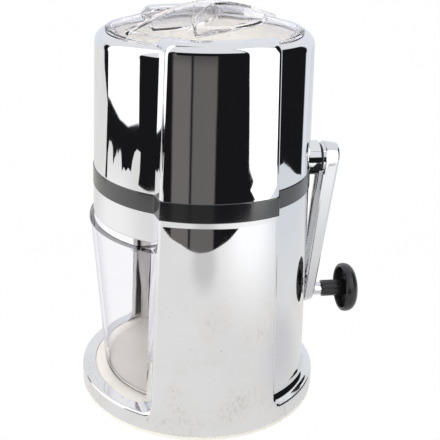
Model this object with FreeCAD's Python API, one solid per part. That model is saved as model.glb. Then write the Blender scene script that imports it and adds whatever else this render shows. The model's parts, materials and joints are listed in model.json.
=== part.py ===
import FreeCAD, Part
import math
import os

V = FreeCAD.Vector
os.makedirs("parts", exist_ok=True)

# ---------------------------------------------------------------------------
# Driving dimensions (millimetres).  +Z is up, the origin is on the axis of the
# round body in the plane that the foot stands on.  The cup is pulled out
# towards -Y, the crank is on the +Y side, the two raised side panels face +-X.
# ---------------------------------------------------------------------------
base_r = 76.0            # radius of the foot end of the body
panel_taper = 2.8 / 144  # radius lost per mm of height on the side panels
recess_r = 65.7          # radius of the recessed barrel at the band's lower edge
recess_taper = 0.0272    # radius lost per mm of height on the recessed barrel
band_z0, band_z1 = 138.6, 149.8
panel_w_top, panel_w_z = 30.15, 226.0   # half width of a side panel, at this height
panel_w_slope = 0.0332   # half width gained per mm downwards
step_flare = 0.19        # the step walls open by this much per mm inwards
corner_x = 65.5          # X of the panel's outer corner
wall = 2.5               # moulding wall of the shells
ring_top = 13.0          # top of the base ring
ring_in = 67.4           # inner radius of the base ring
foot_h = 2.6             # thickness of the foot plate
foot_r = 75.6            # its radius
skirt_z = 120.7          # lower edge of the front skirt, above the cup
shoulder_z, shoulder_f = 229.6, 6.5     # shoulder height and its rounding
panel_top, panel_f = 234.2, 5.2         # height of the raised panels and rounding
seat_r = 58.3            # radius of the panels' inner wall, round the lid
mouth_r = 55.2           # radius of the filling mouth
shaft_z = 150.0          # height of the crank axis
shaft_r = 5.0            # drive shaft
bush_r = 5.05            # bore of the bearings (0.05 running clearance)
crank_len = 91.4         # crank axis to knob axis
knob_z = shaft_z - crank_len
knob_r = 16.0            # knob disc
cup_rim_z, cup_rim_r = 116.7, 68.8
cup_top_r = 68.1          # radius of the cup's front wall under the rim
cup_z0 = 13.2
cup_wall = 2.2
lid_r, lid_z = 57.2, 230.9
lid_cap_r, lid_cap_z, lid_apex = 34.5, 237.6, 242.8
bar_rise = 2.3           # grip bar above the lid's surface
bar_deg = -41.5          # direction of the grip bar in the XY plane
blade_y = (-24.0, -8.0, 8.0, 24.0)
blade_t = 2.5


def R1(z):
    return recess_r - recess_taper * (z - band_z0)


def R2(z):
    return base_r - panel_taper * z


def W(z):
    return panel_w_top + panel_w_slope * (panel_w_z - z)


# --------------------------------------------------------------- helpers ----
def face_from(points):
    """Closed face from (x, z) points; an item ('a', mid, end) is an arc."""
    edges = []
    first = prev = V(points[0][0], 0, points[0][1])
    for p in points[1:]:
        if p[0] == 'a':
            m = V(p[1][0], 0, p[1][1])
            e = V(p[2][0], 0, p[2][1])
            edges.append(Part.Arc(prev, m, e).toShape())
            prev = e
        else:
            e = V(p[0], 0, p[1])
            edges.append(Part.makeLine(prev, e))
            prev = e
    if (prev - first).Length > 1e-6:
        edges.append(Part.makeLine(prev, first))
    return Part.Face(Part.Wire(edges))


def rev(points):
    return face_from(points).revolve(V(0, 0, 0), V(0, 0, 1), 360)


def rev_y(points, x=0.0, z=0.0):
    """Revolve (r, y) points about an axis parallel to Y through (x, z)."""
    pts = [V(r, y, 0) for r, y in points]
    pts.append(pts[0])
    f = Part.Face(Part.makePolygon(pts))
    s = f.revolve(V(0, 0, 0), V(0, 1, 0), 360)
    s.translate(V(x, 0, z))
    return s


def cyl(r, z0, z1, x=0.0, y=0.0):
    return Part.makeCylinder(r, z1 - z0, V(x, y, z0))


def cyl_y(r, y0, y1, z=shaft_z, x=0.0):
    return Part.makeCylinder(r, y1 - y0, V(x, y0, z), V(0, 1, 0))


def box(x0, x1, y0, y1, z0, z1):
    return Part.makeBox(x1 - x0, y1 - y0, z1 - z0, V(x0, y0, z0))


def cone(ra, rb, z0, z1):
    if abs(ra - rb) < 1e-9:
        return cyl(ra, z0, z1)
    return Part.makeCone(ra, rb, z1 - z0, V(0, 0, z0))


def poly(points, z):
    pts = [V(x, y, z) for x, y in points]
    pts.append(pts[0])
    return Part.makePolygon(pts)


def slab(off, z0, z1):
    """The wedge that carries both side panels, inset by off."""
    parts = []
    for sx in (1, -1):
        wires = []
        for z in (z0, z1):
            w = W(z) - off
            wi = w + step_flare * (corner_x - 30.0)
            wo = w - step_flare * (85.0 - corner_x)
            wires.append(poly([(sx * 30.0, -wi), (sx * 85.0, -wo),
                               (sx * 85.0, wo), (sx * 30.0, wi)], z))
        parts.append(Part.makeLoft(wires, True, True))
    return parts[0].fuse(parts[1])


def barrel(off, z0, z1):
    """Body outline between two heights: recessed barrel plus side panels."""
    core = cone(R1(z0) - off, R1(z1) - off, z0, z1)
    pan = cone(R2(z0) - off, R2(z1) - off, z0, z1).common(slab(off, z0, z1))
    return core.fuse(pan).removeSplitter()


def solid(shape, name):
    """Reduce a one-solid compound to its solid and check it."""
    s = shape.removeSplitter()
    if len(s.Solids) == 1:
        s = s.Solids[0]
    if not s.isValid():
        print("NOT VALID", name)
    return s


def save(shape, name):
    s = solid(shape, name)
    s.exportStep("parts/%s.step" % name)
    b = s.BoundBox
    print("%-18s solids %d vol %9.1f  x %.1f..%.1f y %.1f..%.1f z %.1f..%.1f" % (
        name, len(s.Solids), s.Volume, b.XMin, b.XMax, b.YMin, b.YMax, b.ZMin, b.ZMax))
    return s


def group(shapes):
    return Part.makeCompound(shapes)


# --------------------------------------------------------------- housing ----
# Lower shell: base ring, recessed barrel and side panels, open at the front
# from the ring up to the skirt, with a thin neck inside the dark band.
lower = barrel(0.0, ring_top, band_z0)
lower = lower.cut(barrel(wall, ring_top - 1, band_z0 + 1))
neck_top = 144.1
neck = barrel(1.4, band_z0 - 3.0, neck_top).cut(barrel(wall + 0.6, band_z0 - 4.0, neck_top + 1))
lower = lower.fuse(neck)
# cut-out for the cup: everything in front of the panels' front walls
cut_w = []
for z in (ring_top, skirt_z):
    y1 = -(W(z) + step_flare * (corner_x - 55.0))
    cut_w.append(poly([(-80, -90), (80, -90), (80, y1), (-80, y1)], z))
lower = lower.cut(Part.makeLoft(cut_w, True, True).cut(slab(0.0, ring_top - 1, skirt_z + 1)))
ring = cone(R2(foot_h), R2(ring_top), foot_h, ring_top).cut(cyl(ring_in, 0, 20))
ring = ring.cut(cyl(72.8, 0, 10.2).cut(cyl(70.0, 0, 10.2)))
lower = lower.fuse(ring)
base_screw_xy = [(sx * 61.0, sy * 14.0) for sx in (1, -1) for sy in (1, -1)]
shell_screw_xy = [(sx * 63.0, sy * 14.0) for sx in (1, -1) for sy in (1, -1)]
for x, y in base_screw_xy:
    sx = 1 if x > 0 else -1
    a, b = sorted((sx * 56.5, sx * 72.4))
    blk = box(a, b, y - 4.5, y + 4.5, ring_top, 38.0).common(cyl(73.4, 0, 60))
    lower = lower.fuse(blk)
for x, y in shell_screw_xy:
    sx = 1 if x > 0 else -1
    a, b = sorted((sx * 58.2, sx * 72.0))
    blk = box(a, b, y - 4.5, y + 4.5, 128.0, neck_top).common(cyl(70.9, 100, 160))
    lower = lower.fuse(blk)
deck_screw_az = (45.0, 135.0, 225.0, 315.0)
for az in deck_screw_az:
    blk = box(51.4, 64.0, -5.0, 5.0, 121.0, 134.0)
    blk.rotate(V(0, 0, 0), V(0, 0, 1), az)
    lower = lower.fuse(blk)
for x, y in base_screw_xy:
    lower = lower.cut(cyl(1.75, 5.0, 30.0, x, y))
for x, y in shell_screw_xy:
    lower = lower.cut(cyl(1.9, 120.0, 150.0, x, y))
for az in deck_screw_az:
    a = math.radians(az)
    lower = lower.cut(cyl(1.75, 124.0, 140.0, 53.5 * math.cos(a), 53.5 * math.sin(a)))
boss_hole = cyl_y(10.7, 50.0, 90.0)
lower = lower.cut(boss_hole)
save(lower, "lower_shell")

# Dark band over the joint of the two shells.
band = barrel(-0.4, band_z0, band_z1).cut(barrel(1.3, band_z0 - 1, band_z1 + 1))
save(band.cut(boss_hole), "belt_band")

# Upper shell: barrel with a rounded shoulder, panels that rise past it.
up_z0 = 144.3
z_f = shoulder_z - shoulder_f
s45 = math.sqrt(0.5)


def upper_core(off):
    r = R1(z_f) - off
    f = shoulder_f - off
    top = shoulder_z - off
    return rev([(0, up_z0 - 1), (R1(up_z0 - 1) - off, up_z0 - 1), (r, z_f),
                ('a', (r - f + f * s45, z_f + f * s45), (r - f, top)), (0, top)])


z_p = panel_top - panel_f


def upper_panel(off):
    r = R2(z_p) - off
    f = panel_f - off
    top = panel_top - off
    s = rev([(0, up_z0 - 1), (R2(up_z0 - 1) - off, up_z0 - 1), (r, z_p),
             ('a', (r - f + f * s45, z_p + f * s45), (r - f, top)), (0, top)])
    return s.common(slab(off, up_z0 - 2, panel_top + 1))


outer = upper_core(0.0).fuse(upper_panel(0.0).cut(cyl(seat_r, shoulder_z, panel_top + 2)))
inner = upper_core(wall).fuse(
    upper_panel(wall).cut(cyl(seat_r + wall, shoulder_z - wall, panel_top + 2)))
upper = outer.cut(inner).cut(cyl(mouth_r, 200, 260))
upper = upper.cut(box(-100, 100, -100, 100, 100, band_z1))
neck_u = barrel(1.4, up_z0, band_z1 + 3.0).cut(barrel(wall + 0.6, up_z0 - 1, band_z1 + 4.0))
upper = upper.fuse(neck_u)
for x, y in shell_screw_xy:
    sx = 1 if x > 0 else -1
    a, b = sorted((sx * 58.2, sx * 72.0))
    blk = box(a, b, y - 4.5, y + 4.5, up_z0, 166.0).common(cyl(70.7, 100, 170))
    upper = upper.fuse(blk)
for x, y in shell_screw_xy:
    upper = upper.cut(cyl(1.75, 140.0, 162.0, x, y))
upper = upper.cut(boss_hole)
save(upper, "upper_shell")

# Base: floor plate level with the ring, foot plate below, four screws.
plate = cyl(67.2, 10.3, 12.8).fuse(cyl(67.2, foot_h, 10.3).cut(cyl(64.6, 0, 10.3)))
for x, y in base_screw_xy:
    plate = plate.fuse(cyl(4.6, 8.6, 10.3, x, y))
for x, y in base_screw_xy:
    plate = plate.cut(cyl(1.95, 0, 20, x, y)).cut(cyl(3.6, 0, 8.6, x, y))
save(plate, "base_plate")
foot = cyl(foot_r, 0, foot_h)
for x, y in base_screw_xy:
    foot = foot.cut(cyl(3.6, -1, foot_h + 1, x, y))
save(foot, "foot_plate")


def screw(x, y, z_head, z_tip, r, head_r, head_h):
    """Pan-head screw standing up from below, with a cross recess."""
    s = cyl(head_r, z_head - head_h, z_head, x, y).fuse(cyl(r, z_head, z_tip - r, x, y))
    s = s.fuse(Part.makeCone(r, 0.4, r, V(x, y, z_tip - r)))
    for a, b in ((1.9, 0.35), (0.35, 1.9)):
        s = s.cut(box(x - a, x + a, y - b, y + b, z_head - head_h - 1, z_head - head_h + 1.1))
    return s.removeSplitter().Solids[0]


save(group([screw(x, y, 8.6, 27.0, 1.7, 3.1, 2.2) for x, y in base_screw_xy]), "base_screws")
save(group([screw(x, y, 128.0, 158.0, 1.7, 3.1, 2.2) for x, y in shell_screw_xy]), "shell_screws")

# Pale liner round the cup's bay.
lin_o = box(-54.2, 54.2, -32.5, 50.0, 12.8, 118.6).common(cyl(63.0, 0, 200))
lin_i = box(-52.4, 52.4, -60.0, 48.2, 10.0, 120.0).common(cyl(61.2, 0, 200))
save(lin_o.cut(lin_i), "bay_liner")

# Deck that carries the crushing unit, held by four screws from above.
ch_x, ch_y, ch_t = 27.0, 33.0, 3.0        # inner half sizes and wall of the chamber
deck = cyl(57.0, 134.0, 137.0).cut(box(-ch_x - ch_t - 0.2, ch_x + ch_t + 0.2,
                                       -ch_y - ch_t - 0.2, ch_y + ch_t + 0.2, 130, 140))
deck_pts = [(53.5 * math.cos(math.radians(a)), 53.5 * math.sin(math.radians(a)))
            for a in deck_screw_az]
flange_pts = [(sx * 33.4, sy * 30.0) for sx in (1, -1) for sy in (1, -1)]
for x, y in deck_pts:
    deck = deck.cut(cyl(1.95, 130, 140, x, y))
for x, y in flange_pts:
    deck = deck.cut(cyl(1.3, 130, 140, x, y))
save(deck, "deck_plate")


def screw_down(x, y, z_head, length, r, head_r, head_h):
    """Pan-head screw pointing down, its head standing on z_head."""
    s = cyl(head_r, z_head, z_head + head_h, x, y).fuse(cyl(r, z_head - length, z_head, x, y))
    for a, b in ((head_r * 0.6, 0.35), (0.35, head_r * 0.6)):
        s = s.cut(box(x - a, x + a, y - b, y + b, z_head + head_h - 1.0, z_head + head_h + 1))
    return s.removeSplitter().Solids[0]


save(group([screw_down(x, y, 137.0, 12.0, 1.7, 3.1, 2.2) for x, y in deck_pts]), "deck_screws")

# Crushing chamber: a square duct with a flange on the deck and bearing seats.
chamber = box(-ch_x - ch_t, ch_x + ch_t, -ch_y - ch_t, ch_y + ch_t, 122.0, 178.0)
chamber = chamber.fuse(box(-36.8, 36.8, -33.6, 33.6, 137.0, 140.0))
chamber = chamber.cut(box(-ch_x, ch_x, -ch_y, ch_y, 120, 180))
for x, y in flange_pts:
    chamber = chamber.cut(cyl(1.45, 130, 145, x, y))
chamber = chamber.cut(cyl_y(7.0, -50, 50))
comb_z = (144.0, 172.0)
comb_pts = [(y, z) for y in (-28.0, 28.0) for z in (146.5, 169.5)]
for y, z in comb_pts:
    chamber = chamber.cut(Part.makeCylinder(1.3, 100, V(-50, y, z), V(1, 0, 0)))
save(chamber, "crush_chamber")
save(group([screw_down(x, y, 140.0, 5.6, 1.25, 2.4, 1.6) for x, y in flange_pts]),
     "chamber_screws")

# Outlet sleeve under the deck, round the lower end of the chamber.
chute = box(-33.0, 33.0, -39.0, 39.0, 118.9, 134.0).cut(box(-30.4, 30.4, -36.4, 36.4, 118, 135))
save(chute, "outlet_sleeve")

# Hopper: round wall under the mouth, cone, and a floor with a square throat.
hop = rev([(0, 178.0), (46.5, 178.0), (mouth_r + 1.8, 204.4), (mouth_r + 1.8, 226.9),
           (mouth_r, 226.9), (mouth_r, 205.0), (44.0, 181.0), (0, 181.0)])
hop = hop.cut(box(-ch_x, ch_x, -ch_y, ch_y, 170, 190))
save(hop, "hopper")

# ------------------------------------------------------- crushing rotor ----
shaft = cyl_y(shaft_r, -41.0, 80.0).cut(cyl_y(shaft_r + 1, -38.7, -37.3).cut(cyl_y(4.2, -45, -30)))
shaft = shaft.cut(cyl_y(2.45, 68.0, 85.0))
save(shaft, "drive_shaft")


def blade(y, turn):
    """Three hooked tines round a hub."""
    pts = []
    for k in range(3):
        a0 = turn + 120.0 * k
        for da, r in ((-34, 8.6), (-15, 10.0), (-9, 17.0), (2, 23.0), (6, 22.0), (8, 14.5),
                      (17, 9.6), (34, 8.6), (52, 8.4)):
            a = math.radians(a0 + da)
            pts.append(V(r * math.cos(a), y - blade_t / 2, shaft_z + r * math.sin(a)))
    pts.append(pts[0])
    s = Part.Face(Part.makePolygon(pts)).extrude(V(0, blade_t, 0))
    return s.cut(cyl_y(bush_r, -60, 60))


for i, y in enumerate(blade_y):
    save(blade(y, 30.0 + 30.0 * i), "tine_%d" % (i + 1))
edges_y = [-32.6] + [v for y in blade_y for v in (y - blade_t / 2, y + blade_t / 2)] + [32.6]
for i in range(5):
    a, b = edges_y[2 * i], edges_y[2 * i + 1]
    save(cyl_y(7.0, a, b).cut(cyl_y(bush_r, a - 1, b + 1)), "spacer_%d" % (i + 1))

# Fixed combs, one each side, with teeth between the tines' paths.
for sx, nm in ((1, "comb_right"), (-1, "comb_left")):
    a, b = sorted((sx * ch_x, sx * (ch_x - 1.6)))
    comb = box(a, b, -32.0, 32.0, comb_z[0], comb_z[1])
    for y in (-16.0, 0.0, 16.0):
        c, d = sorted((sx * (ch_x - 1.0), sx * 10.0))
        pts = [V(sx * (ch_x - 1.0), y - 1.5, 145.5), V(sx * 10.0, y - 1.5, 148.0),
               V(sx * 10.0, y - 1.5, 152.5), V(sx * (ch_x - 1.0), y - 1.5, 158.5)]
        pts.append(pts[0])
        comb = comb.fuse(Part.Face(Part.makePolygon(pts)).extrude(V(0, 3.0, 0)))
    for y, z in comb_pts:
        comb = comb.cut(Part.makeCylinder(1.3, 100, V(-50, y, z), V(1, 0, 0)))
    save(comb, nm)
pins = []
for sx in (1, -1):
    for y, z in comb_pts:
        p = Part.makeCylinder(2.4, 1.5, V(sx * (ch_x + ch_t), y, z), V(sx, 0, 0))
        q = Part.makeCylinder(1.25, 4.9, V(sx * (ch_x + ch_t), y, z), V(-sx, 0, 0))
        pins.append(p.fuse(q).removeSplitter().Solids[0])
save(group(pins), "comb_rivets")

# Bearings, circlip and the chromed boss on the back of the housing.
for s, nm in ((-1, "front_bush"), (1, "rear_bush")):
    a, b = sorted((s * ch_y, s * (ch_y + ch_t)))
    c, d = sorted((s * (ch_y + ch_t), s * (ch_y + ch_t + 1.2)))
    bush = cyl_y(6.95, a, b).fuse(cyl_y(9.0, c, d)).cut(cyl_y(bush_r, -60, 60))
    save(bush, nm)
clip = cyl_y(7.2, -38.6, -37.4).cut(cyl_y(4.3, -45, -30)).cut(box(-2.2, 2.2, -45, -30, 140, 150))
save(clip, "shaft_circlip")
boss_y1 = 72.3
boss = cyl_y(10.6, 60.5, boss_y1).fuse(cyl_y(14.0, 57.8, 60.5)).cut(cyl_y(7.0, 50, 80))
boss = boss.cut(Part.makeCone(7.0, 7.9, 1.2, V(0, boss_y1 - 1.2, shaft_z), V(0, 1, 0)))
save(boss, "shaft_boss")
save(cyl_y(6.95, 57.8, boss_y1 - 1.3).cut(cyl_y(bush_r, 50, 80)), "boss_bush")

# ----------------------------------------------------------------- crank ----
save(cyl_y(8.8, 72.5, 73.9).cut(cyl_y(bush_r, 60, 80)), "crank_washer")


def arm_outline(r_top, r_end, y0, y1):
    """Prism along Y: the hull of the two end circles of the arm."""
    d = crank_len
    s = math.asin((r_top - r_end) / d)
    c = math.cos(s)
    t = math.sin(s)
    # points where the straight sides touch the circles, right side first
    p1 = V(r_top * c, y0, shaft_z - r_top * t)
    p2 = V(r_end * c, y0, knob_z - r_end * t)
    p3 = V(-r_end * c, y0, knob_z - r_end * t)
    p4 = V(-r_top * c, y0, shaft_z - r_top * t)
    w = Part.Wire([Part.makeLine(p1, p2),
                   Part.Arc(p2, V(0, y0, knob_z - r_end), p3).toShape(),
                   Part.makeLine(p3, p4),
                   Part.Arc(p4, V(0, y0, shaft_z + r_top), p1).toShape()])
    return Part.Face(w).extrude(V(0, y1 - y0, 0))


def lean_in(z):
    return 74.8 + (z - 139.0) * 0.0694


def lean_out(z):
    return 83.5 + (z - 139.0) * 0.0964


def wedge(d_in, d_out):
    """Space between the arm's leaning inner and outer faces."""
    zs = (30.0, 175.0)
    pts = [V(-20, lean_in(zs[0]) + d_in, zs[0]), V(-20, lean_out(zs[0]) + d_out, zs[0]),
           V(-20, lean_out(zs[1]) + d_out, zs[1]), V(-20, lean_in(zs[1]) + d_in, zs[1])]
    pts.append(pts[0])
    return Part.Face(Part.makePolygon(pts)).extrude(V(40, 0, 0))


arm = arm_outline(10.3, 8.2, 55, 95).common(wedge(0, 0)).removeSplitter()
outer_edges = [e for e in arm.Edges
               if all(abs(v.Point.y - lean_out(v.Point.z)) < 1e-4 for v in e.Vertexes)]
arm = arm.makeFillet(2.2, outer_edges)
hollow = arm_outline(8.1, 6.0, 55, 95).common(wedge(-2.0, -2.8))
hollow = hollow.cut(cyl_y(9.4, 50, 100)).cut(cyl_y(6.4, 50, 100, knob_z))
arm = arm.cut(hollow)
arm = arm.fuse(cyl_y(9.2, 74.0, 78.0))
arm = arm.fuse(cyl_y(4.2, 73.0, 81.9, knob_z))
arm = arm.cut(cyl_y(bush_r, 60, 80.2)).cut(cyl_y(2.6, 70, 100)).cut(cyl_y(5.3, 82.4, 100))
arm = arm.cut(cyl_y(3.05, 55, 100, knob_z)).cut(cyl_y(4.9, 50, 70.9, knob_z))
save(arm, "crank_arm")
cs = cyl_y(2.4, 70.0, 82.4).fuse(cyl_y(4.8, 82.4, 85.0))
cs = cs.cut(box(-2.6, 2.6, 83.9, 90, shaft_z - 0.45, shaft_z + 0.45))
cs = cs.cut(box(-0.45, 0.45, 83.9, 90, shaft_z - 2.6, shaft_z + 2.6))
save(cs, "crank_screw")
pin = cyl_y(3.0, 69.5, 101.0, knob_z).fuse(cyl_y(4.7, 69.5, 70.9, knob_z))
pin = pin.cut(cyl_y(5.0, 88.0, 89.2, knob_z).cut(cyl_y(2.5, 80, 95, knob_z)))
save(pin, "knob_pin")
kc = cyl_y(4.0, 88.05, 89.15, knob_z).cut(cyl_y(2.55, 80, 95, knob_z))
kc = kc.cut(box(-1.6, 1.6, 80, 95, knob_z, knob_z + 10))
save(kc, "knob_clip")
# Knob: fluted stem and a domed disc, hollow at the back.
prof = [(5.3, 82.2), (5.3, 99.6), (12.9, 99.6), (13.6, 95.4), (14.6, 94.8), (15.6, 95.6),
        (16.0, 97.4), (15.8, 99.4), (15.0, 101.2), (13.2, 102.8), (10.0, 104.0),
        (6.0, 104.7), (0.01, 104.95), (0.01, 82.2)]
knob = rev_y(prof, 0, knob_z)
for k in range(10):
    a = math.radians(36.0 * k + 18.0)
    knob = knob.cut(Part.makeCylinder(1.0, 13.0, V(5.9 * math.cos(a), 81.0,
                                                  knob_z + 5.9 * math.sin(a)), V(0, 1, 0)))
knob = knob.cut(cyl_y(3.06, 80, 101.4, knob_z)).cut(cyl_y(4.2, 87.9, 89.3, knob_z))
save(knob, "crank_knob")

# ------------------------------------------------------------------- cup ----
cup_low_r = 60.6         # radius of the cup's front wall at its foot


def CR(z):
    """Outer radius of the cup's front wall."""
    return cup_low_r + (cup_top_r - cup_low_r) * (z - cup_z0) / (cup_rim_z - cup_z0)


def tub(off, z0, z1, side, back, back_r):
    """Tub outline: round front, straight sides, rounded back."""
    front = cone(CR(z0) - off, CR(z1) - off, z0, z1)
    b = box(-side + off, side - off, -90, back - off, z0, z1)
    rear = cyl(back_r - off, z0, z1).common(box(-90, 90, 0, 90, z0, z1))
    fr = front.common(box(-90, 90, -90, 0, z0, z1))
    return b.common(fr.fuse(rear)).removeSplitter()


cup = tub(0.0, cup_z0, cup_rim_z, 51.0, 36.0, 59.5)
low_edges = [e for e in cup.Edges if all(abs(v.Point.z - cup_z0) < 1e-6 for v in e.Vertexes)]
cup = cup.makeFillet(4.0, low_edges)
hol = tub(cup_wall, cup_z0 + 2.6, cup_rim_z + 2.0, 51.0, 36.0, 59.5)
cup = cup.cut(hol)
# front wall carried on to both sides, up to the panels
wing = cone(CR(20.0), CR(cup_rim_z), 20.0, cup_rim_z).cut(
    cone(CR(20.0) - cup_wall, CR(cup_rim_z) - cup_wall, 20.0, cup_rim_z))
lip = cyl(cup_rim_r, cup_rim_z - 1.8, cup_rim_z).cut(
    cyl(CR(cup_rim_z) - cup_wall, 100, 130))
wing = wing.fuse(lip).common(box(-90, 90, -90, -33.0, 0, 130))
wing = wing.cut(slab(-0.6, 10, 130))
wing = wing.cut(box(-50.0, 50.0, -40.0, -20.0, 0, 130))
cup = cup.fuse(wing)
save(cup, "ice_cup")

# ------------------------------------------------------------------- lid ----
lid_f0 = shoulder_z + 0.25   # underside of the flange, just clear of the shoulder
lid_wall = 1.8


def lid_top(rise):
    """Solid under the lid's outer surface, raised by rise inside the rim."""
    zc = lid_cap_z + rise
    za = lid_apex + rise
    h = za - zc
    rs = (lid_cap_r ** 2 + h * h) / (2 * h)
    rm = lid_cap_r * 0.55
    zm = za - rs + math.sqrt(rs * rs - rm * rm)
    return rev([(0, 215.0), (54.8, 215.0), (54.8, lid_z + 0.2 + rise), (lid_cap_r, zc),
                ('a', (rm, zm), (0, za))])


def hourglass(inset):
    """Plan outline of the grip bar as a tall prism."""
    a0, k = 8.0 - inset, 0.36
    top, bot = [], []
    n = 24
    for i in range(n + 1):
        s = -60.0 + 120.0 * i / n
        h = math.sqrt(max(a0, 0.5) ** 2 + (k * s) ** 2)
        top.append(V(s, h - inset * 0.35, 210.0))
        bot.append(V(s, -h + inset * 0.35, 210.0))
    t = Part.BSplineCurve()
    t.interpolate(top)
    b = Part.BSplineCurve()
    b.interpolate(list(reversed(bot)))
    w = Part.Wire([t.toShape(), Part.makeLine(top[-1], bot[-1]), b.toShape(),
                   Part.makeLine(bot[0], top[0])])
    f = Part.Face(w).extrude(V(0, 0, 45))
    f.rotate(V(0, 0, 0), V(0, 0, 1), bar_deg)
    return f


bar_r = 53.6
hg_o = hourglass(0.0).common(cyl(bar_r, 205, 260))
hg_i = hourglass(lid_wall).common(cyl(bar_r - lid_wall, 205, 260))
body_o = lid_top(0.0).fuse(lid_top(bar_rise).common(hg_o))
low = lid_top(-lid_wall)
body_i = low.common(cyl(52.6, 200, 260)).fuse(lid_top(bar_rise - lid_wall).common(hg_i))
# finger pockets: floors that rise from the bar out to the inner circle
floor_in, floor_out = 230.6, 236.4
pk = []
for side in (1, -1):
    pts = [V(0, side * 0.0, floor_in - 1.6), V(0, side * 40.0, floor_out + 1.0),
           V(0, side * 40.0, 260.0), V(0, 0, 260.0)]
    pts.append(pts[0])
    w = Part.Face(Part.makePolygon(pts)).extrude(V(90, 0, 0))
    w.translate(V(-45, 0, 0))
    w.rotate(V(0, 0, 0), V(0, 0, 1), bar_deg)
    pk.append(w)
wedges = pk[0].fuse(pk[1])
pocket = cyl(lid_cap_r - 0.6, 205, 260).cut(hg_o).common(wedges)
pk2 = []
for side in (1, -1):
    pts = [V(0, 0, floor_in - 1.6 - lid_wall), V(0, side * 40.0, floor_out + 1.0 - lid_wall),
           V(0, side * 40.0, 260.0), V(0, 0, 260.0)]
    pts.append(pts[0])
    w = Part.Face(Part.makePolygon(pts)).extrude(V(90, 0, 0))
    w.translate(V(-45, 0, 0))
    w.rotate(V(0, 0, 0), V(0, 0, 1), bar_deg)
    pk2.append(w)
skin = cyl(lid_cap_r + 1.2, 205, 260).cut(hourglass(lid_wall)).common(pk2[0].fuse(pk2[1]))
lid = body_o.cut(body_i)
lid = lid.fuse(body_o.common(skin))
lid = lid.cut(pocket)
lid = lid.cut(cyl(54.6, 200, lid_f0).cut(cyl(54.4, 200, lid_f0)))
lid = lid.cut(box(-90, 90, -90, 90, 200, 223.4))
flange = cyl(lid_r, lid_f0, lid_z).cut(cyl(52.6, 200, 260))
lid = lid.common(cyl(54.4, 200, 260).fuse(cyl(lid_r, lid_f0, 260))).fuse(flange)
save(lid, "lid")
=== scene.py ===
import json
import math

import bmesh
import bpy
import numpy as np
from mathutils import Matrix, Vector


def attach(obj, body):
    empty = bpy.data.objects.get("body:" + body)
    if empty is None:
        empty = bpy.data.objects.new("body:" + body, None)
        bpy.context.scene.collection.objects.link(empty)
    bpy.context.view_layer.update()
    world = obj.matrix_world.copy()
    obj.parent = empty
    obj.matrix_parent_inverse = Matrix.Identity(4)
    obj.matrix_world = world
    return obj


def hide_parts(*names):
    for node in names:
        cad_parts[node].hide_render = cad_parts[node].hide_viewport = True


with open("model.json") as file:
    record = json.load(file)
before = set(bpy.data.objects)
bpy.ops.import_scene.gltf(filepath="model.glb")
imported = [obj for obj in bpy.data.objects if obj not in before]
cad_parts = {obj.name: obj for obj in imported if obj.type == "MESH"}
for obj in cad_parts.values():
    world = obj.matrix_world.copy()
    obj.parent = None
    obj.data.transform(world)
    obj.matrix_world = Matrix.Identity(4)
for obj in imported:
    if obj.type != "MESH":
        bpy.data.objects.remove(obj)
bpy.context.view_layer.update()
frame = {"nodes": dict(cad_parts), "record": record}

NODES = frame["nodes"]
SC = bpy.context.scene
SC.view_settings.view_transform = "Standard"
SC.view_settings.look = "None"
SC.view_settings.exposure = 0.0
SC.view_settings.gamma = 1.0

rad = math.radians
sin, cos = math.sin, math.cos

# ------------------------------------------------------------------ camera --
# Object frame: +Z up, -Y is the front with the cup, +Y the crank side.
cam_f, cam_d, cam_h = 71.441, 6.6616 * 0.076, 4.205 * 0.076
cam_pitch, cam_psi, cam_roll, cam_az = 0.3916, -0.0187, 0.0165, rad(80.65)


def turn_z(v, a):
    return np.array([v[0] * cos(a) - v[1] * sin(a), v[0] * sin(a) + v[1] * cos(a), v[2]])


fw = np.array([sin(cam_psi) * cos(cam_pitch), cos(cam_psi) * cos(cam_pitch), -sin(cam_pitch)])
rt = np.cross(fw, [0, 0, 1])
rt /= np.linalg.norm(rt)
up = np.cross(rt, fw)
rt, up = rt * cos(cam_roll) + up * sin(cam_roll), -rt * sin(cam_roll) + up * cos(cam_roll)
cam_p = turn_z(np.array([0, -cam_d, cam_h]), cam_az)
RR, UU, FF = (turn_z(v, cam_az) for v in (rt, up, fw))
cam_data = bpy.data.cameras.new("view_camera")
cam_data.sensor_width = 36.0
cam_data.lens = cam_f
cam_data.shift_x = (220 - 185) / 440
cam_data.shift_y = 0.0
cam_data.clip_start = 0.01
cam_data.clip_end = 60.0
cam = bpy.data.objects.new("view_camera", cam_data)
SC.collection.objects.link(cam)
m = Matrix.Identity(4)
for i in range(3):
    m[i][0], m[i][1], m[i][2], m[i][3] = RR[i], UU[i], -FF[i], cam_p[i]
cam.matrix_world = m
SC.camera = cam

# -------------------------------------------------------------- dimensions --
# millimetres, as in the construction
base_r, panel_taper = 76.0, 2.8 / 144
recess_r, recess_taper = 65.7, 0.0272
band_z0, band_z1 = 138.6, 149.8
ring_top, ring_in, foot_h, foot_r, skirt_z = 13.0, 67.4, 2.6, 75.6, 120.7
shoulder_z, shoulder_f, panel_top, panel_f = 229.6, 6.5, 234.2, 5.2
seat_r, mouth_r = 58.3, 55.2
flare = 0.19
flare_k, flare_d = math.sqrt(1 + flare * flare), math.atan(flare)


def R1(z):
    return recess_r - recess_taper * (z - band_z0)


def R2(z):
    return base_r - panel_taper * z


def W(z):
    return 30.15 + 0.0332 * (226.0 - z)


def phi_s(z, c=0.0, off=0.0):
    """Angle of a side panel's edge at a height, at a depth c below its face."""
    v = (W(z) + off + flare * 65.5) / (flare_k * (R2(z) + off - c))
    return math.asin(min(v, 0.9999)) - flare_d


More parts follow.
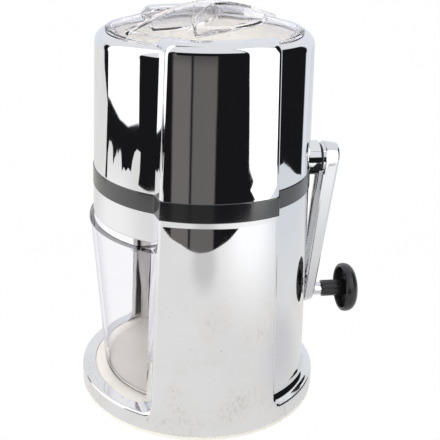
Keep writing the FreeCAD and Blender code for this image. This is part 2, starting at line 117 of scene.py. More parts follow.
# ------------------------------------------------------------ mesh helpers --
def new_object(name, verts, faces, body, weld=0.004, sharp=38.0, replaces=()):
    """Object from millimetre coordinates; welds doubles, closes and shades it."""
    me = bpy.data.meshes.new(name)
    me.from_pydata([(x * 0.001, y * 0.001, z * 0.001) for x, y, z in verts], [], faces)
    bm = bmesh.new()
    bm.from_mesh(me)
    if weld:
        bmesh.ops.remove_doubles(bm, verts=bm.verts, dist=weld * 0.001)
        bmesh.ops.dissolve_degenerate(bm, edges=bm.edges, dist=0.0005 * 0.001)
    loose = [v for v in bm.verts if not v.link_faces]
    if loose:
        bmesh.ops.delete(bm, geom=loose, context="VERTS")
    bmesh.ops.recalc_face_normals(bm, faces=bm.faces)
    bm.to_mesh(me)
    bm.free()
    for p in me.polygons:
        p.use_smooth = True
    me.set_sharp_from_angle(angle=rad(sharp))
    ob = bpy.data.objects.new(name, me)
    SC.collection.objects.link(ob)
    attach(ob, body)
    if replaces:
        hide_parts(*replaces)
    return ob


class Soup:
    """Collects patches before they become one mesh."""

    def __init__(self):
        self.v, self.f = [], []

    def grid(self, rows, close_u=False, close_v=False):
        """rows: a list of equally long lists of points."""
        n, k = len(rows), len(rows[0])
        o = len(self.v)
        for r in rows:
            self.v.extend(r)
        for i in range(n if close_u else n - 1):
            for j in range(k if close_v else k - 1):
                a, b = i, (i + 1) % n
                c, d = j, (j + 1) % k
                self.f.append((o + a * k + c, o + b * k + c, o + b * k + d, o + a * k + d))

    def fan(self, pts):
        o = len(self.v)
        self.v.extend(pts)
        self.f.append(tuple(range(o, o + len(pts))))

    def mirrored(self, mx=False, my=False):
        o = len(self.v)
        self.v += [((-x if mx else x), (-y if my else y), z) for x, y, z in self.v[:o]]
        self.f += [tuple(reversed([i + o for i in f])) for f in list(self.f)]

    def add(self, other):
        o = len(self.v)
        self.v += other.v
        self.f += [tuple(i + o for i in f) for f in other.f]


def lin(a, b, n):
    return [a + (b - a) * i / n for i in range(n + 1)]


def revolve(profile, n=192, closed=True, phi0=0.0, phi1=None, axis="z", centre=(0, 0, 0)):
    """Sweeps (r, h) points round an axis; a part sweep gets end caps."""
    s = Soup()
    full = phi1 is None
    steps = [2 * math.pi * i / n for i in range(n)] if full else lin(phi0, phi1, n)

    def at(r, h, a):
        if axis == "z":
            return (centre[0] + r * cos(a), centre[1] + r * sin(a), centre[2] + h)
        return (centre[0] + r * cos(a), centre[1] + h, centre[2] + r * sin(a))

    rows = [[at(r, h, a) for r, h in profile] for a in steps]
    s.grid(rows, close_u=full, close_v=closed)
    if not full and closed:
        s.fan(rows[0])
        s.fan(list(reversed(rows[-1])))
    return s


def arc(cx, cy, r, a0, a1, n):
    """Points of a circular arc, angles in degrees."""
    return [(cx + r * cos(rad(a)), cy + r * sin(rad(a))) for a in lin(a0, a1, n)]


# --------------------------------------------------------------- materials --
def principled(name, color, rough=0.4, metal=0.0, **extra):
    mat = bpy.data.materials.new(name)
    mat.use_nodes = True
    nt = mat.node_tree
    b = nt.nodes["Principled BSDF"]
    b.inputs["Base Color"].default_value = (*color, 1.0)
    b.inputs["Roughness"].default_value = rough
    b.inputs["Metallic"].default_value = metal
    for k, v in extra.items():
        b.inputs[k.replace("_", " ")].default_value = v
    return mat, nt, b


def noise(nt, scale, detail=3.0, rough=0.5, coord=None):
    n = nt.nodes.new("ShaderNodeTexNoise")
    n.inputs["Scale"].default_value = scale
    n.inputs["Detail"].default_value = detail
    n.inputs["Roughness"].default_value = rough
    if coord is None:
        c = nt.nodes.new("ShaderNodeTexCoord")
        coord = c.outputs["Object"]
    nt.links.new(coord, n.inputs["Vector"])
    return n


def ramp(nt, fac, stops, mode="LINEAR"):
    r = nt.nodes.new("ShaderNodeValToRGB")
    r.color_ramp.interpolation = mode
    while len(r.color_ramp.elements) < len(stops):
        r.color_ramp.elements.new(0.5)
    for e, (p, c) in zip(r.color_ramp.elements, stops):
        e.position = p
        e.color = (*c, 1.0) if len(c) == 3 else c
    nt.links.new(fac, r.inputs["Fac"])
    return r


def map_range(nt, value, a, b, c, d, kind="LINEAR"):
    r = nt.nodes.new("ShaderNodeMapRange")
    r.interpolation_type = kind
    for i, v in enumerate((a, b, c, d)):
        r.inputs[i + 1].default_value = v
    nt.links.new(value, r.inputs[0])
    return r.outputs[0]


def bump(nt, bsdf, height, strength, distance):
    b = nt.nodes.new("ShaderNodeBump")
    b.inputs["Strength"].default_value = strength
    b.inputs["Distance"].default_value = distance
    nt.links.new(height, b.inputs["Height"])
    nt.links.new(b.outputs["Normal"], bsdf.inputs["Normal"])
    return b


def math_node(nt, op, a, b=None):
    n = nt.nodes.new("ShaderNodeMath")
    n.operation = op
    for i, v in enumerate((a, b)):
        if v is None:
            continue
        if isinstance(v, (int, float)):
            n.inputs[i].default_value = v
        else:
            nt.links.new(v, n.inputs[i])
    return n.outputs[0]


def make_chrome(name="chrome_plate", rough=0.018, specks=True, tone=(0.86, 0.865, 0.88)):
    mat, nt, b = principled(name, tone, rough, 1.0)
    tc = nt.nodes.new("ShaderNodeTexCoord")
    # slow, very shallow waves of the moulding under the plating
    wav = noise(nt, 34.0, 1.5, 0.4, tc.outputs["Object"])
    bump(nt, b, wav.outputs["Fac"], 0.10, 0.0006)
    # fine haze that comes and goes
    hz = noise(nt, 55.0, 4.0, 0.55, tc.outputs["Object"])
    rr = map_range(nt, hz.outputs["Fac"], 0.42, 0.75, rough, rough + 0.035)
    if specks:
        # pin holes, fine grime and soft clouds, thicker low on the body
        sep = nt.nodes.new("ShaderNodeSeparateXYZ")
        nt.links.new(tc.outputs["Object"], sep.inputs[0])
        low = map_range(nt, sep.outputs["Z"], 0.060, 0.115, 1.0, 0.0)
        pit = nt.nodes.new("ShaderNodeTexVoronoi")
        pit.inputs["Scale"].default_value = 260.0
        nt.links.new(tc.outputs["Object"], pit.inputs["Vector"])
        dot = map_range(nt, pit.outputs["Distance"], 0.06, 0.20, 1.0, 0.0)
        gate = noise(nt, 60.0, 2.0, 0.5, tc.outputs["Object"])
        gt = map_range(nt, gate.outputs["Fac"], 0.54, 0.62, 0.0, 0.5)
        dd = math_node(nt, "MULTIPLY", dot, gt)
        stretch = nt.nodes.new("ShaderNodeMapping")
        stretch.inputs["Scale"].default_value = (1.0, 1.0, 0.45)
        nt.links.new(tc.outputs["Object"], stretch.inputs["Vector"])
        fine = noise(nt, 520.0, 4.0, 0.62, stretch.outputs["Vector"])
        cl = noise(nt, 34.0, 3.0, 0.55, tc.outputs["Object"])
        cm = map_range(nt, cl.outputs["Fac"], 0.40, 0.62, 0.0, 1.0, "SMOOTHSTEP")
        grime = math_node(nt, "MULTIPLY", map_range(nt, fine.outputs["Fac"], 0.49, 0.72, 0.0, 0.36), cm)
        soft = map_range(nt, cl.outputs["Fac"], 0.42, 0.72, 0.0, 0.12)
        ds = math_node(nt, "ADD", math_node(nt, "MAXIMUM", dd, grime), soft)
        ds = math_node(nt, "MULTIPLY", ds, low)
        col = ramp(nt, ds, [(0.0, (0.86, 0.865, 0.88)), (0.15, (0.825, 0.817, 0.803)), (1.0, (0.34, 0.33, 0.32))])
        nt.links.new(col.outputs["Color"], b.inputs["Base Color"])
        rr = math_node(nt, "ADD", rr, math_node(nt, "MULTIPLY", ds, 0.30))
    nt.links.new(rr, b.inputs["Roughness"])
    return mat


def make_plastic(name, dark, light, rough, grain=900.0, bump_s=0.08, coat=0.0, mottle=30.0, ior=1.5):
    mat, nt, b = principled(name, light, rough)
    b.inputs["IOR"].default_value = ior
    if coat:
        b.inputs["Coat Weight"].default_value = coat
        b.inputs["Coat Roughness"].default_value = 0.08
    tc = nt.nodes.new("ShaderNodeTexCoord")
    n1 = noise(nt, mottle, 3.0, 0.55, tc.outputs["Object"])
    col = ramp(nt, n1.outputs["Fac"], [(0.30, dark), (0.70, light)])
    nt.links.new(col.outputs["Color"], b.inputs["Base Color"])
    n2 = noise(nt, grain, 2.0, 0.6, tc.outputs["Object"])
    bump(nt, b, n2.outputs["Fac"], bump_s, 0.0002)
    rr = map_range(nt, n1.outputs["Fac"], 0.3, 0.7, rough * 0.88, rough * 1.12)
    nt.links.new(rr, b.inputs["Roughness"])
    return mat


def make_clear(name, mid, edge, rough=0.010, ior=1.1, waves=0.05, coat=0.35):
    mat, nt, b = principled(name, mid, rough, 0.0)
    b.inputs["IOR"].default_value = ior
    b.inputs["Transmission Weight"].default_value = 1.0
    b.inputs["Coat Weight"].default_value = coat
    b.inputs["Coat Roughness"].default_value = 0.02
    # the tint gathers where the wall is seen edge-on
    lw = nt.nodes.new("ShaderNodeLayerWeight")
    lw.inputs["Blend"].default_value = 0.5
    tint = ramp(nt, lw.outputs["Facing"], [(0.0, mid), (0.62, mid), (0.90, tuple((a + b_) / 2 for a, b_ in zip(mid, edge))), (1.0, edge)])
    nt.links.new(tint.outputs["Color"], b.inputs["Base Color"])
    tc = nt.nodes.new("ShaderNodeTexCoord")
    n1 = noise(nt, 26.0, 1.5, 0.4, tc.outputs["Object"])
    bump(nt, b, n1.outputs["Fac"], waves, 0.0005)
    n2 = noise(nt, 140.0, 3.0, 0.5, tc.outputs["Object"])
    rr = map_range(nt, n2.outputs["Fac"], 0.5, 0.8, rough, rough + 0.03)
    nt.links.new(rr, b.inputs["Roughness"])
    return mat


def both_n(nt, a, b):
    return math_node(nt, "MULTIPLY", a, b)


def paint_cup_shade_lines(mat):
    """Paints dark lines into the cup's colour: painted shade along the rim and a painted contact shadow round the foot.
    """
    nt = mat.node_tree
    b = nt.nodes["Principled BSDF"]
    old = b.inputs["Base Color"].links[0].from_socket
    tc = nt.nodes.new("ShaderNodeTexCoord")
    sep = nt.nodes.new("ShaderNodeSeparateXYZ")
    nt.links.new(tc.outputs["Object"], sep.inputs[0])
    # painted shade: a dark line along the rim at z 115.7 to 116.1 mm
    rim = map_range(nt, sep.outputs["Z"], 0.1157, 0.1161, 0.0, 0.9)
    xx = math_node(nt, "MULTIPLY", sep.outputs["X"], sep.outputs["X"])
    yy = math_node(nt, "MULTIPLY", sep.outputs["Y"], sep.outputs["Y"])
    rr = math_node(nt, "SQRT", math_node(nt, "ADD", xx, yy))
    near = map_range(nt, sep.outputs["X"], -0.014, 0.012, 0.10, 1.0)
    # painted contact shadow: a dark line round the outer foot below z 16 mm, stronger towards +X
    foot = both_n(nt, map_range(nt, sep.outputs["Z"], 0.0152, 0.0164, 1.0, 0.0), map_range(nt, rr, 0.0572, 0.0582, 0.0, 1.0))
    f = math_node(nt, "MAXIMUM", rim, both_n(nt, foot, near))
    mix = nt.nodes.new("ShaderNodeMix")
    mix.data_type = "RGBA"
    nt.links.new(f, mix.inputs[0])
    nt.links.new(old, mix.inputs[6])
    # near-black colour of the painted rim shade and the painted foot shadow
    mix.inputs[7].default_value = (0.06, 0.055, 0.07, 1.0)
    nt.links.new(mix.outputs[2], b.inputs["Base Color"])
    return mat


M = {
    "chrome": make_chrome(),
    "arm_chrome": make_chrome("arm_chrome_plate", 0.07, False, tone=(0.80, 0.805, 0.82)),
    "band": make_plastic("band_plastic", (0.005, 0.005, 0.006), (0.009, 0.009, 0.010), 0.10, ior=1.95),
    "ivory": make_plastic("ivory_plastic", (0.71, 0.675, 0.61), (0.78, 0.745, 0.685), 0.42, coat=0.15),
    "hopper_ivory": make_plastic("hopper_ivory_plastic", (0.79, 0.765, 0.725), (0.85, 0.825, 0.785), 0.45),
    # whiter ivory for the bay liner, made lighter still as painted light against the shade inside the bay
    "liner_ivory_painted_light": make_plastic("liner_ivory_painted_light_plastic", (0.86, 0.835, 0.80), (0.92, 0.90, 0.87), 0.5),
    "foot": make_plastic("foot_plastic", (0.70, 0.68, 0.62), (0.78, 0.76, 0.70), 0.75, bump_s=0.02, ior=1.3),
    "clear_lid": make_clear("clear_lid_plastic", (0.992, 0.990, 0.997), (0.60, 0.53, 0.80), ior=1.10, waves=0.02, coat=0.25),
    "clear_cup": paint_cup_shade_lines(make_clear("clear_cup_plastic", (0.964, 0.960, 0.976), (0.62, 0.60, 0.68), ior=1.022, waves=0.0, coat=0.0)),
    "knob_black": make_plastic("knob_black_plastic", (0.007, 0.007, 0.008), (0.011, 0.011, 0.012), 0.27, ior=1.58),
    "chamber_grey": make_plastic("chamber_grey_plastic", (0.30, 0.30, 0.31), (0.36, 0.36, 0.37), 0.45),
    "bearing": make_plastic("bearing_plastic", (0.62, 0.60, 0.55), (0.70, 0.68, 0.62), 0.4),
    "steel": make_chrome("rotor_steel", 0.16, False),
    "fastener": make_chrome("fastener_steel", 0.22, False),
}


def make_boss():
    """Chrome of the boss, with a painted dark reflection on its lower half."""
    mat = make_chrome("boss_chrome_painted_reflection", 0.03, False)
    nt = mat.node_tree
    b = nt.nodes["Principled BSDF"]
    tc = nt.nodes.new("ShaderNodeTexCoord")
    sep = nt.nodes.new("ShaderNodeSeparateXYZ")
    nt.links.new(tc.outputs["Object"], sep.inputs[0])
    n = noise(nt, 170.0, 2.0, 0.5, tc.outputs["Object"])
    h = math_node(nt, "ADD", sep.outputs["Z"], map_range(nt, n.outputs["Fac"], 0.3, 0.7, -0.0016, 0.0016))
    # painted reflection: base colour near black below about z 148.8 mm, a dark reflection painted on the boss's lower
    # half
    f = map_range(nt, h, 0.1484, 0.1492, 0.0, 1.0)
    c = ramp(nt, f, [(0.0, (0.022, 0.021, 0.026)), (1.0, (0.86, 0.865, 0.88))])
    nt.links.new(c.outputs["Color"], b.inputs["Base Color"])
    M["boss_painted_reflection"] = mat


def paint(ob, mat):
    if ob.data.materials:
        for i in range(len(ob.data.materials)):
            ob.data.materials[i] = mat
    else:
        ob.data.materials.append(mat)


# every carried-over piece of the construction gets its slot's material
make_boss()
slot_of = {entry["node"]: entry["material_slot"] for entry in frame["record"]["subparts"]}

for n, ob in NODES.items():
    paint(ob, M[{"shaft_boss": "boss_painted_reflection", "hopper": "hopper_ivory", "bay_liner": "liner_ivory_painted_light"}.get(n, slot_of[n])])
    for p in ob.data.polygons:
        p.use_smooth = True
    ob.data.set_sharp_from_angle(angle=rad(32))
    if slot_of[n] in ("clear_lid", "clear_cup"):
        ob.visible_shadow = False       # clear plastic lets the light in

# -------------------------------------------------------------- upper body --
up_parts = Soup()
z_f = shoulder_z - shoulder_f
core = [(R1(z), z) for z in lin(band_z1 - 0.4, z_f - 0.4, 10)]
core += [(R1(z_f) - shoulder_f + x, z_f + y) for x, y in arc(0, 0, shoulder_f, 0, 90, 12)]
core += [(56.6, shoulder_z)] + [(mouth_r + 0.8 + x, shoulder_z - 0.8 + y) for x, y in arc(0, 0, 0.8, 90, 180, 5)]
core += [(mouth_r, 227.2), (58.0, 226.9)]
core += [(R1(z) - 2.5, z) for z in lin(222.0, band_z1 - 0.4, 8)]
up_parts.add(revolve(core, n=240))


def r_back(z):
    """Radius of a raised panel's hidden back; bare above the shoulder."""
    t = min(max((z - 222.0) / 6.0, 0.0), 1.0)
    t = t * t * (3 - 2 * t)
    return (R1(z) - 1.2) * (1 - t) + seat_r * t


def panel_point(q, z, c, off=0.0):
    """q: distance from the panel's edge, positive away from the panel."""
    r = R2(z) + off - c
    a = phi_s(z, c, off) + q / R2(z)
    return (r * cos(a), r * sin(a), z)


def upper_panel_quarter():
    """Half of a raised panel, from its middle to one edge."""
    s = Soup()
    rc = 6.2
    top = panel_top
    z0 = band_z1 - 0.4
    rs, rtop, rb = 1.9, panel_f, 0.7
    cols = []            # (kind, parameter, fillet radius)
    zs = lin(z0, top - rc - 0.3, 16) + [top - rc]
    for z in zs:
        cols.append(("s", z, rs))
    na = 14
    for i in range(1, na):
        t = i / na
        k = t * t * (3 - 2 * t)
        cols.append(("a", t * 90.0, rs + (rtop - rs) * k))
    q_end = None
    nt = 18
    for i in range(nt + 1):
        cols.append(("t", i / nt, rtop))

    def base(kind, p, d, c):
        if kind == "s":
            return panel_point(-d, p, c)
        if kind == "a":
            a = rad(p)
            rr_ = rc - d
            return panel_point(-rc + rr_ * cos(a), top - rc + rr_ * sin(a), c)
        # along the top: a fixed share of the way to the panel's middle
        z = top - d
        r = R2(z) - c
        a0 = phi_s(z, c) - rc / R2(z)
        a = a0 * (1 - p)
        return (r * cos(a), r * sin(a), z)

    rows = []
    for kind, p, rho in cols:
        row = []

        def cend(z):
            return R2(z) - r_back(z)
        zt = p if kind == "s" else (top - rc + rc * sin(rad(p)) if kind == "a" else top)
        # back face, from the inner corner out to the edge
        for d in (rc, 3.0, rb):
            zz = zt if kind == "s" else (top - rc + (rc - d) * sin(rad(p)) if kind == "a" else top - d)
            row.append(base(kind, p, d, cend(zz)))
        ce = cend(zt)
        for t in (22.5, 45, 67.5):
            row.append(base(kind, p, rb * (1 - sin(rad(t))), ce - rb * (1 - cos(rad(t)))))
        row.append(base(kind, p, 0.0, ce - rb))
        cw = [ce - rb - 0.3] + lin(ce - rb - 0.3, rho + 0.25, 4)[1:] + [rho]
        for c in cw:
            row.append(base(kind, p, 0.0, c))
        for t in lin(0, 90, 10)[1:]:
            row.append(base(kind, p, rho * (1 - cos(rad(t))), rho * (1 - sin(rad(t)))))
        row.append(base(kind, p, rho + 0.22, 0.0))
        if rho + 0.5 < rc:
            row.append(base(kind, p, (rho + 0.22 + rc) / 2, 0.0))
        else:
            row.append(base(kind, p, rho + 0.5 * (rc - rho), 0.0))
        row.append(base(kind, p, rc, 0.0))
        rows.append(row)
    s.grid(rows)
    # interior of the face and of the back
    for face in (0, 1):
        grid = []
        for z in zs:
            line = []
            for i in range(nt + 1):
                c = 0.0 if face == 0 else R2(z) - r_back(z)
                r = R2(z) - c
                a0 = phi_s(z, c) - rc / R2(z)
                a = a0 * (1 - i / nt)
                line.append((r * cos(a), r * sin(a), z))
            grid.append(line)
        s.grid(grid)
    # flat underside, hidden by the band
    zb = z0
    under_front = [p for p in reversed(rows[0])]
    line_f = grid_line = []
    a0 = phi_s(zb) - rc / R2(zb)
    front = [(R2(zb) * cos(a0 * (1 - i / nt)), R2(zb) * sin(a0 * (1 - i / nt)), zb) for i in range(nt + 1)]
    cb = R2(zb) - r_back(zb)
    rbk = R2(zb) - cb
    a1 = phi_s(zb, cb) - rc / R2(zb)
    back = [(rbk * cos(a1 * (1 - i / nt)), rbk * sin(a1 * (1 - i / nt)), zb) for i in range(nt + 1)]
    s.grid([front, back])
    s.fan(rows[0])
    return s


quarter = upper_panel_quarter()
quarter.mirrored(my=True)
quarter.mirrored(mx=True)
up_parts.add(quarter)
upper = new_object("upper_body", up_parts.v, up_parts.f, "housing", replaces=("upper_shell",))
paint(upper, M["chrome"])

# -------------------------------------------------------------- lower body --
low_parts = Soup()


def rb_low(z):
    if z <= ring_top:
        return ring_in
    return R1(z) - 2.5


def lip_out(z):
    """The shell's upper edge turns out a little towards the band."""
    return 0.085 * max(z - 135.7, 0.0)


def lower_quarter():
    """A quarter of the ring with half a side panel, round the window's corner."""
    s = Soup()
    rc, rho = 6.0, 1.9
    zt = band_z0 + 0.4
    cols = []
    zs = lin(zt, 135.7, 6) + [135.3, 134.6, 133.0] + lin(131.0, ring_top + rc, 20)
    for z in zs:
        cols.append(("s", z))
    na = 12
    for i in range(1, na):
        cols.append(("a", 90.0 * i / na))
    nb = 44
    for i in range(nb + 1):
        cols.append(("b", i / nb))
    nv = 18

    def point(a, z, c):
        r = R2(z) - c + lip_out(z)
        return (r * cos(a), r * sin(a), z)

    def edge(kind, p, d, c):
        """(angle, height) of a point d inside the outline, at depth c."""
        if kind == "s":
            return (phi_s(p, c) - d / R2(p), p)
        if kind == "a":
            t = rad(p)
            q = rc - (rc + d) * cos(t)
            z = ring_top + rc - (rc + d) * sin(t)
            return (phi_s(z, c) + q / R2(z), z)
        z = ring_top - d
        a0 = phi_s(z, c) + rc / R2(z)
        return (a0 + (math.pi / 2 - a0) * p, z)

    def target(kind, p, c):
        if kind == "s":
            return (0.0, p)
        if kind == "a":
            t = p / 90.0
            if t <= 0.5:
                return (0.0, ring_top + rc + (foot_h - ring_top - rc) * t * 2)
            return ((phi_s(ring_top, c) + rc / R2(ring_top)) * (t - 0.5) * 2, foot_h)
        a0 = phi_s(ring_top, c) + rc / R2(ring_top)
        return (a0 + (math.pi / 2 - a0) * p, foot_h)

    rows, closings = [], []
    for kind, p in cols:
        row = []
        # front face, from the far boundary to the window's edge
        a1, z1 = target(kind, p, 0.0)
        a0, z0 = edge(kind, p, rho + 0.25, 0.0)
        for t in lin(0, 1, nv):
            row.append(point(a1 + (a0 - a1) * t, z1 + (z0 - z1) * t, 0.0))
        row.append(point(*edge(kind, p, rho, 0.0), 0.0))
        for t in lin(90, 0, 9)[1:]:
            c = rho * (1 - sin(rad(t)))
            row.append(point(*edge(kind, p, rho * (1 - cos(rad(t))), c), c))
        zz = edge(kind, p, 0.0, 0.0)[1]
        ce = R2(zz) - rb_low(zz)
        for c in [rho + 0.25] + lin(rho + 0.25, ce, 4)[1:]:
            row.append(point(*edge(kind, p, 0.0, c), c))
        # back face, out to the far boundary
        a0, z0 = edge(kind, p, 0.0, ce)
        a1, z1 = target(kind, p, ce)
        for t in lin(0, 1, nv)[1:]:
            z = z0 + (z1 - z0) * t
            row.append(point(a0 + (a1 - a0) * t, z, R2(z) - rb_low(min(z, zz))))
        rows.append(row)
    s.grid(rows)
    s.fan(rows[0])                       # top end, hidden by the band
    # underside of the ring
    first = next(i for i, (k, p) in enumerate(cols) if k == "a" and p >= 44.9)
    s.grid([[rows[i][0], rows[i][-1]] for i in range(first, len(rows))])
    return s


quarter = lower_quarter()
quarter.mirrored(my=True)
quarter.mirrored(mx=True)
low_parts.add(quarter)

# recessed rear wall with a fillet to the ring, and the front skirt
fr = 6.0
a_in = phi_s(70.0) - rad(4.0)
rear = [(R1(z), z) for z in lin(band_z0 + 0.4, ring_top + fr, 10)]
rear += [(R1(ring_top + fr) + fr + x, ring_top + fr + y) for x, y in arc(0, 0, fr, 180, 270, 8)][1:]
rear += [(R1(ring_top) + fr, ring_top - 0.4), (ring_in + 0.2, ring_top - 0.4), (R1(ring_top) - 2.4, ring_top + 1.0)]
rear += [(R1(z) - 2.5, z) for z in lin(ring_top + 4.0, band_z0 + 0.4, 6)]
low_parts.add(revolve(rear, n=150, phi0=a_in, phi1=math.pi - a_in))
sk = [(R1(z), z) for z in lin(band_z0 + 0.4, skirt_z + 0.9, 5)]
sk += [(R1(skirt_z) - 0.9 + x, skirt_z + 0.9 + y) for x, y in arc(0, 0, 0.9, 0, -90, 5)][1:]
sk += [(R1(skirt_z) - 1.6 + x, skirt_z + 0.7 + y) for x, y in arc(0, 0, 0.7, -90, -180, 4)]
sk += [(R1(z) - 2.5, z) for z in lin(skirt_z + 2.0, band_z0 + 0.4, 3)]
low_parts.add(revolve(sk, n=150, phi0=-math.pi + a_in, phi1=-a_in))
lower = new_object("lower_body", low_parts.v, low_parts.f, "housing", replaces=("lower_shell",))
paint(lower, M["chrome"])


# -------------------------------------------------------------------- band --
def outline_quarter(z, off, r_out, r_in, n_pan=18, n_rec=26, n_fil=7):
    """Plan outline of the body from the panel's middle to the middle of the recess."""
    w = W(z) + off
    r2, r1 = R2(z) + off, R1(z) + off
    # line of the step wall: y = w + flare*(65.5-x)
    ux, uy = -1 / flare_k, flare / flare_k          # direction, inwards
    pa = phi_s(z, 0.0, off)
    P = np.array([r2 * cos(pa), r2 * sin(pa)])
    v = (w + flare * 65.5) / (flare_k * r1)
    qa = math.asin(v) - flare_d
    Q = np.array([r1 * cos(qa), r1 * sin(qa)])
    u = np.array([ux, uy])

    def fillet(corner, d_in, d_out, r):
        """Rounds the corner between the incoming and the outgoing direction."""
        turn = math.acos(max(-1, min(1, float(np.dot(d_in, d_out)))))
        t = r * math.tan(turn / 2)
        s0 = corner - d_in * t
        s1 = corner + d_out * t
        side = np.sign(d_in[0] * d_out[1] - d_in[1] * d_out[0])
        n0 = np.array([-d_in[1], d_in[0]]) * side
        c = s0 + n0 * r
        out = []
        for i in range(n_fil + 1):
            a = turn * i / n_fil * side
            dv = s0 - c
            out.append(c + np.array([dv[0] * cos(a) - dv[1] * sin(a), dv[0] * sin(a) + dv[1] * cos(a)]))
        return out, t

    tan_p = np.array([-sin(pa), cos(pa)])
    tan_q = np.array([-sin(qa), cos(qa)])
    f1, t1 = fillet(P, tan_p, u, r_out)
    f2, t2 = fillet(Q, u, tan_q, r_in)
    pts = []
    a_end = pa - (t1 + 0.15) / r2
    for a in lin(0, a_end, n_pan):
        pts.append((r2 * cos(a), r2 * sin(a)))
    pts += [tuple(p) for p in f1]
    pts += [tuple(p) for p in f2]
    b0 = qa + (t2 + 0.15) / r1
    for a in lin(b0, math.pi / 2, n_rec):
        pts.append((r1 * cos(a), r1 * sin(a)))
    return pts


def full_outline(z, off, r_out, r_in):
    q = outline_quarter(z, off, r_out, r_in)
    pts = list(q)
    pts += [(-x, y) for x, y in reversed(q)][1:]
    pts += [(-x, -y) for x, y in q][1:]
    pts += [(x, -y) for x, y in reversed(q)][1:-1]
    return pts


def ring_from_outlines(levels):
    """levels: (z, offset, convex radius, concave radius) round a closed section."""
    s = Soup()
    rows = [[(x, y, z) for x, y in full_outline(z, off, ro, ri)] for z, off, ro, ri in levels]
    s.grid(rows, close_u=True, close_v=True)
    return s


e = 0.32
lv_bottom = [(band_z0 + e * (1 - cos(rad(t))), 0.4 - e * (1 - sin(rad(t))), 0.7, 1.2) for t in (0, 22, 45, 67, 90)]
lv_top = [(band_z1 - e * (1 - cos(rad(t))), 0.4 - e * (1 - sin(rad(t))), 0.7, 1.2) for t in (90, 67, 45, 22, 0)]
levels = lv_bottom + [(z, 0.4, 0.7, 1.2) for z in (band_z0 + 0.6, 144.2, band_z1 - 0.6)] + lv_top
levels += [(band_z1, -1.2, 0.7, 1.2), (band_z0, -1.2, 0.7, 1.2)]
band_s = ring_from_outlines(levels)
band = new_object("belt_band_trim", band_s.v, band_s.f, "housing", replaces=("belt_band",))
paint(band, M["band"])

# --------------------------------------------------------------------- lid --
bar_deg, bar_end, bar_rise = -41.5, 53.6, 2.3
cap_r, cap_z, cap_apex = 34.5, 237.6, 242.8
lid_rim_r, lid_rim_z, lid_under = 57.2, 230.9, 229.85


def lid_field():
    """Top and underside of the lid as height fields on a square grid."""
    g = 0.4
    ax = np.arange(-60.0, 60.0 + g / 2, g)
    X, Y = np.meshgrid(ax, ax, indexing="ij")
    r = np.hypot(X, Y)
    b = rad(bar_deg)
    S = X * cos(b) + Y * sin(b)
    D = -X * sin(b) + Y * cos(b)

    def soft(v, w):
        t = np.clip(v / w + 0.5, 0.0, 1.0)
        return t * t * (3 - 2 * t)

    h = cap_apex - cap_z
    rs = (cap_r ** 2 + h * h) / (2 * h)
    dome = cap_apex - rs + np.sqrt(np.maximum(rs * rs - r * r, 0.0))
    cone = cap_z + (r - cap_r) * (231.1 - cap_z) / (54.8 - cap_r)
    base = np.where(r < cap_r, dome, cone)
    base = np.where(r > 54.8, lid_rim_z + np.clip((55.4 - r) / 0.6, 0, 1) * 0.2, base)
    hw = np.sqrt(64.0 + (0.36 * S) ** 2)
    inside = soft(hw - np.abs(D), 1.1)
    low = 229.0 + 0.21 * np.abs(D)
    pocket = soft(33.9 - r, 1.6) * soft(base - low, 0.8)
    floor_z = base * (1 - pocket) + np.minimum(low, base) * pocket
    bar_top = base + bar_rise * soft(bar_end - r, 1.2)
    top = floor_z * (1 - inside) + bar_top * inside
    # even wall: a ball rolled along the top surface
    t = 1.7
    k = int(t / g)
    under = np.full_like(top, 1e9)
    for i in range(-k, k + 1):
        for j in range(-k, k + 1):
            q = (i * i + j * j) * g * g
            if q < t * t:
                under = np.minimum(under, np.roll(np.roll(top, i, 0), j, 1) - math.sqrt(t * t - q))
    return ax, top, under


def sample(ax, field, x, y):
    g = ax[1] - ax[0]
    u, v = (x - ax[0]) / g, (y - ax[0]) / g
    i, j = int(u), int(v)
    u, v = u - i, v - j
    return float(field[i, j] * (1 - u) * (1 - v) + field[i + 1, j] * u * (1 - v)
                 + field[i, j + 1] * (1 - u) * v + field[i + 1, j + 1] * u * v)


lid_ax, lid_top_z, lid_low_z = lid_field()
lid_s = Soup()
n_sec = 420


def lid_ring(r, field=None, z=None):
    out = []
    for i in range(n_sec):
        a = 2 * math.pi * i / n_sec
        x, y = r * cos(a), r * sin(a)
        out.append((x, y, z if field is None else sample(lid_ax, field, x, y)))
    return out


rings = [lid_ring(r, lid_top_z) for r in [0.4] + lin(1.2, 32.0, 34) + lin(32.4, 35.2, 10) + lin(35.8, 51.8, 22)
         + lin(52.1, 55.6, 12)]
rings.append(lid_ring(56.2, z=lid_rim_z))
rings += [lid_ring(lid_rim_r - 0.45 + 0.45 * sin(rad(t)), z=lid_rim_z - 0.45 * (1 - cos(rad(t)))) for t in (0, 30, 60, 90)]
rings += [lid_ring(lid_rim_r, z=lid_under + 0.2), lid_ring(lid_rim_r - 0.2, z=lid_under), lid_ring(54.45, z=lid_under)]
rings += [lid_ring(54.4, z=lid_under - 0.1), lid_ring(54.4, z=223.8), lid_ring(54.1, z=223.4), lid_ring(52.9, z=223.4),
          lid_ring(52.6, z=223.7), lid_ring(52.6, z=228.6)]
rings += [lid_ring(r, lid_low_z) for r in lin(52.2, 35.8, 22) + lin(35.2, 31.0, 12) + lin(30.2, 1.2, 32) + [0.4]]
lid_s.grid(rings, close_v=True)
lid_s.fan(rings[0])
lid_s.fan(rings[-1])
lid = new_object("lid_clear", lid_s.v, lid_s.f, "lid", replaces=("lid",), sharp=50.0)
paint(lid, M["clear_lid"])
lid.visible_shadow = False

# --------------------------------------------------------------------- arm --
shaft_z, knob_z = 150.0, 58.6


def arm_in(z):
    return 74.8 + (z - 139.0) * 0.0694


def arm_out(z):
    return 83.5 + (z - 139.0) * 0.0964


